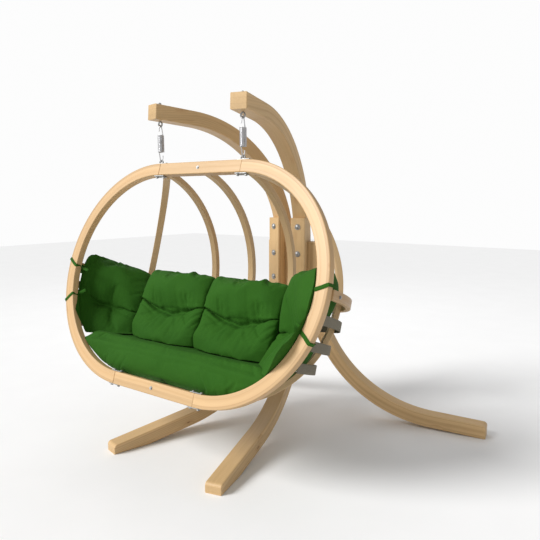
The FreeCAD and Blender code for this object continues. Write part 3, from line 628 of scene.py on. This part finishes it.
class Pouch:
    """Two sheets of cloth sewn together round their edge, in a frame with Z up and -Y in front."""

    def __init__(self, name, width, height, fold, material, columns=72, rows=66):
        self.width, self.height = width, height
        self.columns, self.rows = columns, rows
        self.fold = fold
        across, up = np.meshgrid(np.linspace(0, 1, columns + 1), np.linspace(0, 1, rows + 1))
        self.s = across.ravel()
        self.t = up.ravel()
        inner = (self.s > 0) & (self.s < 1) & (self.t > 0) & (self.t < 1)
        self.back_of = np.full(len(self.s), -1)
        self.back_of[inner] = len(self.s) + np.arange(inner.sum())
        self.back_of[~inner] = np.nonzero(~inner)[0]
        self.all_s = np.concatenate([self.s, self.s[inner]])
        self.all_t = np.concatenate([self.t, self.t[inner]])
        self.front = np.concatenate([np.ones(len(self.s)), -np.ones(inner.sum())])
        self.front[: len(self.s)][~inner] = 0
        self.piece = new_piece(name, self.flat_points(), self.faces(), material)

    def faces(self):
        rows = []
        step = self.columns + 1
        for row in range(self.rows):
            for column in range(self.columns):
                a = row * step + column
                quad = (a, a + 1, a + step + 1, a + step)
                rows.append(quad)
                rows.append(tuple(int(self.back_of[corner]) for corner in quad[::-1]))
        return rows

    def fold_height(self, s):
        """Height of the sewn fold, which sags between the sides."""
        level, rise = self.fold
        return level + rise * np.abs(2 * s - 1) ** 1.6

    def flat_points(self):
        x = 2 * self.all_s - 1
        z = 2 * self.all_t - 1
        round_x = x * np.sqrt(1 - 0.10 * z ** 2)
        round_z = z * np.sqrt(1 - 0.13 * x ** 2)
        swell = (np.sin(math.pi * self.all_s) * np.sin(math.pi * self.all_t)) ** 0.5
        near_fold = np.abs(self.all_t - self.fold_height(self.all_s)) / 0.12
        swell *= 0.25 + 0.75 * np.minimum(1, near_fold)
        y = -self.front * 0.035 * swell
        return np.stack([round_x * self.width / 2, y, (round_z + 1) * self.height / 2], 1)

    def fold_pins(self, low, high):
        """Points of both sheets along the sewn part of the fold."""
        near = np.abs(self.all_t - self.fold_height(self.all_s)) < 0.6 / self.rows
        return np.nonzero(near & (self.all_s > low) & (self.all_s < high))[0]

    def fit(self, width, height, thick):
        """Scale the blown-up pouch to its finished size, foot at Z = 0 and front at Y = 0."""
        points = mesh_points(self.piece.data)
        low, high = points.min(0), points.max(0)
        middle = (low + high) / 2
        scale = np.array([width, thick, height]) / (high - low)
        points = (points - middle) * scale + np.array([0, thick / 2, height / 2])
        self.width, self.height = width, height
        set_mesh_points(self.piece.data, points)

    def square_up(self, share):
        """Stretch the seams most of the way out to a rectangle with rounded corners."""
        points = mesh_points(self.piece.data)
        grid = points[: len(self.s)].reshape(self.rows + 1, self.columns + 1, 3)
        row = np.rint(self.all_t * self.rows).astype(int)
        column = np.rint(self.all_s * self.columns).astype(int)
        left, right = grid[:, 0, 0][row], grid[:, -1, 0][row]
        foot, top = grid[0, :, 2][column], grid[-1, :, 2][column]
        half = self.width / 2 * (1 - CORNER_ROUND * np.abs(2 * self.all_t - 1) ** 7)
        tall = self.height / 2 * (1 - CORNER_ROUND * np.abs(2 * self.all_s - 1) ** 7)
        x = -half + 2 * half * (points[:, 0] - left) / np.maximum(right - left, 1e-6)
        z = self.height / 2 - tall + 2 * tall * (points[:, 2] - foot) / np.maximum(top - foot, 1e-6)
        points[:, 0] += share * (x - points[:, 0])
        points[:, 2] += share * (z - points[:, 2])
        set_mesh_points(self.piece.data, points)

    def crease(self, marks):
        """Press valleys into the front sheet. A mark is (s, t, s, t, width, depth) in metres."""
        points = mesh_points(self.piece.data)
        flat = np.stack([self.all_s * self.width, self.all_t * self.height], 1)
        for s0, t0, s1, t1, wide, deep in marks:
            start = np.array([s0 * self.width, t0 * self.height])
            run = np.array([s1 * self.width, t1 * self.height]) - start
            share = np.clip((flat - start) @ run / (run @ run), 0, 1)
            away = np.linalg.norm(flat - start - share[:, None] * run, axis=1)
            taper = np.sin(math.pi * np.clip(share * 0.86 + 0.07, 0, 1)) ** 0.7
            valley = np.exp(-(away / wide) ** 2) - 0.45 * np.exp(-(away / (2.4 * wide)) ** 2)
            points[:, 1] += np.maximum(self.front, 0) * deep * taper * valley
        set_mesh_points(self.piece.data, points)

    def gather(self, seed):
        """Small gathers that run in from the top, foot and side seams."""
        points = mesh_points(self.piece.data)
        out = np.stack([np.zeros(len(points)), -self.front, np.zeros(len(points))], 1)
        push = np.zeros(len(points))
        s, t = self.all_s, self.all_t
        for number, (way, edge) in enumerate(((s, t), (s, 1 - t), (t, s), (t, 1 - s))):
            for spot in range(len(points)):
                if edge[spot] > 0.2:
                    continue
                place = Vector((way[spot] * 15, edge[spot] * 2.0 + 7 * number, seed))
                ripple = noise.noise(place) + 0.5 * noise.noise(place * 2.3)
                push[spot] += ripple * GATHER_HEIGHT * (1 - edge[spot] / 0.2) ** 1.2
        set_mesh_points(self.piece.data, points + out * push[:, None])

    def crumple(self, seed):
        """Broad soft dents all over."""
        points = mesh_points(self.piece.data)
        push = [noise.noise(Vector((s * 5, t * 5, seed))) for s, t in zip(self.all_s, self.all_t)]
        points[:, 1] -= self.front * np.array(push) * CRUMPLE_HEIGHT * 2
        set_mesh_points(self.piece.data, points)


def finish_cushion(piece, cloth_vectors, node):
    """One subdivision, and the facts that go with a cushion."""
    set_vector_attribute(piece.data, "cloth", cloth_vectors)
    smooth = piece.modifiers.new("smooth", "SUBSURF")
    smooth.levels = smooth.render_levels = 1
    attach(piece, "basket")
    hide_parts(node)


def above_seat(points):
    """Points in the basket's frame, kept clear of the seat cushion's top."""
    to_seat = SEAT_EDGE.inverted() @ BASKET
    local = placed(to_seat, points)
    local[:, 2] = smooth_max(local[:, 2], SEAT_CLEAR, 0.002)
    return placed(to_seat.inverted(), local)


def build_back_cushion(name, side, fabric):
    """A sewn pouch that leans on the hoops, beside its twin."""
    pouch = Pouch(f"{name}_back_cushion_cover", 0.56, 0.53, (0.47, 0.13), fabric)
    inflate(pouch.piece, POUCH_CAP, pins=pouch.fold_pins(0.30, 0.70))
    pouch.fit(0.520, 0.462, 0.20)
    pouch.square_up(0.85)
    fold = pouch.fold_height
    pouch.crease((
        (0.02, fold(0.05), 0.42, fold(0.5) + 0.01, 0.010, 0.030),
        (0.58, fold(0.5) + 0.01, 0.98, fold(0.95), 0.010, 0.030),
        (0.38, fold(0.5), 0.62, fold(0.5), 0.012, 0.030),
        (0.03, 0.52, 0.32, 0.43, 0.007, 0.010),
        (0.70, 0.44, 0.97, 0.53, 0.007, 0.012),
        (0.80, 0.36, 0.97, 0.50, 0.006, 0.009),
        (0.86, 0.30, 0.985, 0.44, 0.006, 0.008),
        (0.82, 0.86, 0.93, 0.97, 0.007, 0.007),
        (0.06, 0.95, 0.14, 0.84, 0.007, 0.007),
    ))
    pouch.crumple(3.0 + side)
    pouch.gather(5.0 + side)
    points = mesh_points(pouch.piece.data)
    place = shift(side * 0.248, 0.148, SEAT_TOP + 0.010) @ spin(-5, "X")
    points = placed(place, points)
    out = smooth_max(side * points[:, 0], BACK_PAD_GAP, SEAM_SOFT)
    out = -smooth_max(-out, -BACK_PAD_END, SEAM_SOFT)
    points[:, 0] = side * out
    points = above_seat(inside_hoops(points))
    set_mesh_points(pouch.piece.data, placed(BASKET, points))
    cloth = np.stack([pouch.all_s * 0.5, pouch.all_t * 0.47, pouch.front], 1)
    finish_cushion(pouch.piece, cloth, f"{name}_back_cushion")


def build_side_cushion(name, side, fabric):
    """A sewn pouch that turns in from the end of the ring."""
    pouch = Pouch(f"{name}_side_cushion_cover", 0.50, 0.56, (0.53, 0.04), fabric)
    sewn = (0.15, 0.62) if side < 0 else (0.38, 0.85)
    inflate(pouch.piece, POUCH_CAP, pins=pouch.fold_pins(*sewn))
    pad = SIDE_PADS[name]
    pouch.fit(*pad["size"])
    pouch.square_up(0.85)
    fold = pouch.fold_height
    marks = [
        (0.05, fold(0.1), 0.34, fold(0.4) + 0.01, 0.011, 0.030),
        (0.30, fold(0.4), 0.60, fold(0.6) - 0.02, 0.016, 0.020),
        (0.55, fold(0.6) - 0.02, 0.97, 0.46, 0.008, 0.012),
        (0.76, 0.80, 0.96, 0.90, 0.007, 0.008),
        (0.80, 0.70, 0.97, 0.80, 0.007, 0.007),
        (0.74, 0.26, 0.96, 0.38, 0.007, 0.007),
    ]
    for number in range(7):
        s = 0.20 + 0.065 * number
        marks.append((s, 0.02, s + 0.008, 0.14 + 0.03 * (number % 3), 0.0045, 0.006))
    if side > 0:
        marks = [(1 - s0, t0, 1 - s1, t1, wide, deep) for s0, t0, s1, t1, wide, deep in marks]
    pouch.crease(marks)
    pouch.crumple(11.0 + side)
    pouch.gather(17.0 + side)
    points = mesh_points(pouch.piece.data)
    slant = Matrix(((1, 0, 0, 0), (0, 1, 0, 0), (side * 0.14, 0, 1, 0), (0, 0, 0, 1)))
    lean = spin(-side * pad["turn"], "Z") @ spin(-8, "X") @ slant
    place = shift(side * pad["across"], pad["behind"], SEAT_TOP + pad["foot"])
    points = placed(place @ lean, points)
    # beside the back cushion the pad stops at its end, and in front of it the pad may overlap it
    inner = SIDE_PAD_START - 0.12 * np.clip((0.140 - points[:, 1]) / 0.05, 0, 1)
    points[:, 0] = side * smooth_max(side * points[:, 0], inner, SEAM_SOFT)
    points = above_seat(inside_ring(inside_hoops(points)))
    set_mesh_points(pouch.piece.data, placed(BASKET, points))
    cloth = np.stack([pouch.all_s * 0.45, pouch.all_t * 0.5, pouch.front], 1)
    finish_cushion(pouch.piece, cloth, f"{name}_side_cushion")


def build_seat(fabric):
    """The long seat cushion: its CAD shape with eased edges, blown up, crowned and creased."""
    source = frame["nodes"]["seat_cushion"]
    piece = bpy.data.objects.new("seat_cushion_cover", source.data.copy())
    bpy.context.scene.collection.objects.link(piece)
    piece.data.materials.clear()
    piece.data.materials.append(fabric)
    weld = piece.modifiers.new("weld", "WELD")
    weld.merge_threshold = 0.0002
    even = piece.modifiers.new("even", "REMESH")
    even.mode = "VOXEL"
    even.voxel_size = SEAT_VOXEL
    ease = piece.modifiers.new("ease", "SMOOTH")
    ease.factor = 0.5
    ease.iterations = 9
    shaped = piece.evaluated_get(bpy.context.evaluated_depsgraph_get())
    baked = bpy.data.meshes.new_from_object(shaped)
    piece.modifiers.clear()
    piece.data = baked
    baked.polygons.foreach_set("use_smooth", [True] * len(baked.polygons))
    inflate(piece, SEAT_CAP, bending=0.3)
    normals = np.zeros(len(baked.vertices) * 3)
    baked.vertices.foreach_get("normal", normals)
    grown = mesh_points(baked) + SEAT_GROWTH * normals.reshape(-1, 3)
    local = placed(SEAT_EDGE.inverted(), grown)
    crown = SEAT_CROWN * np.clip((0.20 - local[:, 1]) / 0.10, 0, 1)
    top = np.where(local[:, 2] > -0.03, local[:, 2], -1)
    local[:, 2] = np.where(top > -1, -smooth_max(-top, -crown, 0.004), local[:, 2])
    wrinkle = np.array([noise.noise(Vector((x * 9, y * 16, 2.0))) for x, y in local[:, :2]])
    small = np.array([noise.noise(Vector((x * 30, y * 30, 6.0))) for x, y in local[:, :2]])
    local[:, 2] += (0.004 * wrinkle + 0.0015 * small - 0.004) * (local[:, 2] > -0.04)
    local[:, 0] *= SEAT_STRETCH
    world = placed(SEAT_EDGE, local)
    points = inside_ring(inside_hoops(placed(BASKET.inverted(), world)))
    set_mesh_points(baked, placed(BASKET, points))
    cloth = np.stack([local[:, 0], local[:, 1] - local[:, 2], np.zeros(len(local))], 1)
    finish_cushion(piece, cloth, "seat_cushion")


# ---------------------------------------------------------------- ties

TIE_WIDTH = 0.018
TIE_THICK = 0.0016
TIE_LIFT = 0.0022  # of the ribbon's middle off the wood
KNOT_SIZE = 0.0032


def ring_point(side, angle, out, back):
    """A point near the ring's end: out from its centre line at an angle from level, and back."""
    reach = RING_OUTER - RING_FACE / 2 + out
    u = side * (HANG_HALF + reach * math.cos(angle))
    return BASKET @ Vector((u, back, -RING_OUTER + reach * math.sin(angle)))


def build_tie(name, side, level, slant, fabric):
    """A ribbon from the cushion's corner round the ring, with its knot and tails behind."""
    out = RING_FACE / 2 + TIE_LIFT
    back = RING_DEPTH / 2 + TIE_LIFT
    angle = math.asin((level + RING_OUTER) / (RING_OUTER - RING_FACE / 2))
    corner = 0.006
    stops = (
        (-out - 0.060, back, -0.9), (-out, back - corner, -0.5), (-out, -back + corner, -0.42),
        (-out + corner, -back, -0.38), (0, -back, 0.0), (out - corner, -back, 0.4),
        (out, -back + corner, 0.45), (out, back - corner, 0.5), (out - corner, back, 0.45),
        (0.0, back, 0.1), (-out + corner, back, -0.4),
    )
    spots = [ring_point(side, angle + slant * turn / RING_OUTER, o, b) for o, b, turn in stops]
    path = spline(spots, 8)
    centre = np.array(ring_point(side, angle, 0, 0))
    ahead = tangents(path)
    face = path - centre
    face -= (face * ahead).sum(1)[:, None] * ahead
    ribbon = swept(name, path, ribbon_sections(path, TIE_WIDTH, TIE_THICK, face), fabric)
    finish_tie(ribbon, path)
    knot_angle = angle - 0.2 * slant / RING_OUTER
    knot_centre = np.array(ring_point(side, knot_angle, -0.004, back + 0.006))
    build_knot(f"{name}_knot", knot_centre, fabric)
    for number, (sway, drop) in enumerate(((0.006, 0.050), (-0.010, 0.038))):
        hang = [knot_centre, knot_centre + np.array([side * sway, 0.012, -0.3 * drop]),
                knot_centre + np.array([side * sway * 1.6, 0.010, -drop])]
        tail_path = spline([Vector(spot) for spot in hang], 8)
        facing = np.tile(np.array([side * 0.25, 1.0, 0.1]), (len(tail_path), 1))
        tail = swept(f"{name}_tail_{number}", tail_path,
                     ribbon_sections(tail_path, TIE_WIDTH, TIE_THICK, facing), fabric)
        finish_tie(tail, tail_path)


def spline(spots, steps):
    """A smooth line through some points."""
    points = np.array([list(spot) for spot in spots])
    ends = np.vstack([2 * points[0] - points[1], points, 2 * points[-1] - points[-2]])
    path = []
    for number in range(len(points) - 1):
        p0, p1, p2, p3 = ends[number:number + 4]
        for step in range(steps):
            t = step / steps
            path.append(0.5 * (2 * p1 + (p2 - p0) * t + (2 * p0 - 5 * p1 + 4 * p2 - p3) * t ** 2
                               + (3 * p1 - p0 - 3 * p2 + p3) * t ** 3))
    path.append(points[-1])
    return np.array(path)


def finish_tie(piece, path):
    """Thread directions, and the body that a tie rides on."""
    count = len(piece.data.vertices) // len(path)
    lengths = np.concatenate([[0], np.cumsum(np.linalg.norm(np.diff(path, axis=0), axis=1))])
    along = np.repeat(lengths, count)
    across = np.tile(np.linspace(0, 2 * TIE_WIDTH, count), len(path))
    set_vector_attribute(piece.data, "cloth", np.stack([along, across, 0 * along], 1))
    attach(piece, "basket")


def build_knot(name, centre, fabric):
    """An overhand knot in the ribbon."""
    turn = np.linspace(0, 2 * math.pi, 60, endpoint=False)
    loop = np.stack([np.sin(turn) + 2 * np.sin(2 * turn), -np.sin(3 * turn) * 1.1,
                     np.cos(turn) - 2 * np.cos(2 * turn)], 1)
    path = centre + loop * KNOT_SIZE
    outward = loop + np.array([0.01, 0.02, 0.01])
    sections = ribbon_sections(path, 0.007, 0.003, outward, closed=True)
    finish_tie(swept(name, path, sections, fabric, closed=True), path)


def build_ties(fabric):
    """Two ties on each side; the level is a height in the basket's frame."""
    for name, side, level, slant in (("left_upper_tie", -1, -0.588, 0.045),
                                     ("left_lower_tie", -1, -0.792, -0.035),
                                     ("right_upper_tie", 1, -0.58, 0.030),
                                     ("right_lower_tie", 1, -0.795, -0.030)):
        build_tie(name, side, level, slant, fabric)


# ---------------------------------------------------------------- studio

FLOOR_HALF = 14
FLOOR_LEVEL = -0.0005  # a little under the feet
GLOW_STRENGTH = 0.42
WALL_STRENGTH = 0.98
SUN_STRENGTH = 3.1
SUN_ANGLE = 24
SUN_AIM = (2.6, 3.9, -3.3)
CAMERA_PITCH = 9.52
CAMERA_TURN = 36.52


def build_studio():
    """Pale floor, soft lights and the camera."""
    corners = [(x * FLOOR_HALF, y * FLOOR_HALF, FLOOR_LEVEL)
               for x, y in ((-1, -1), (1, -1), (1, 1), (-1, 1))]
    floor = new_piece("studio_floor", corners, [(0, 1, 2, 3)], floor_material())
    world = bpy.data.worlds.new("studio")
    world.use_nodes = True
    sky = world.node_tree
    sky.nodes.clear()
    glow = add_node(sky, "ShaderNodeBackground", {"Color": (1, 1, 1, 1), "Strength": GLOW_STRENGTH})
    wall = add_node(sky, "ShaderNodeBackground", {"Color": (1, 1, 1, 1), "Strength": WALL_STRENGTH})
    seen = add_node(sky, "ShaderNodeLightPath").outputs["Is Camera Ray"]
    both = add_node(sky, "ShaderNodeMixShader", {0: seen, 1: glow.outputs[0], 2: wall.outputs[0]})
    add_node(sky, "ShaderNodeOutputWorld", {"Surface": both.outputs[0]})
    bpy.context.scene.world = world
    aim = Vector((0, HANG_BACK, 0.9))
    sun = bpy.data.lights.new("key", "SUN")
    sun.energy = SUN_STRENGTH
    sun.angle = math.radians(SUN_ANGLE)
    key = bpy.data.objects.new("key", sun)
    key.rotation_euler = Vector(SUN_AIM).to_track_quat("-Z", "Y").to_euler()
    bpy.context.scene.collection.objects.link(key)
    lights = (("fill", (3.6, -3.4, 2.4), 3.5, 10), ("rim", (-2.5, 3.0, 4.6), 3.0, 40))
    for name, spot, width, power in lights:
        lamp = bpy.data.lights.new(name, "AREA")
        lamp.size = width
        lamp.energy = power
        holder = bpy.data.objects.new(name, lamp)
        holder.location = spot
        holder.rotation_euler = (aim - Vector(spot)).to_track_quat("-Z", "Y").to_euler()
        bpy.context.scene.collection.objects.link(holder)
    lens = bpy.data.cameras.new("view")
    lens.lens = 37.32
    lens.sensor_width = 36
    lens.shift_y = 0.0423
    camera = bpy.data.objects.new("view", lens)
    camera.location = (2.038, HANG_BACK - 2.150, 1.367)
    camera.rotation_euler = (math.radians(90 - CAMERA_PITCH), 0, math.radians(CAMERA_TURN))
    bpy.context.scene.collection.objects.link(camera)
    bpy.context.scene.camera = camera
    bpy.context.scene.view_settings.view_transform = "Standard"


zinc = steel("zinc_steel", (0.36, 0.36, 0.355), 0.42)
spring_wire = steel("spring_steel", (0.56, 0.56, 0.57), 0.26)
fabric = woven("green_cotton", (0.011, 0.074, 0.0012), (0.032, 0.130, 0.0055), 0.0013, 0.10)
finish_wood()
finish_webbing()
finish_steel(zinc, spring_wire)
build_springs(spring_wire)
build_seat(fabric)
for side_name, side_sign in SIDES:
    build_back_cushion(side_name, side_sign, fabric)
    build_side_cushion(side_name, side_sign, fabric)
build_ties(fabric)
build_studio()
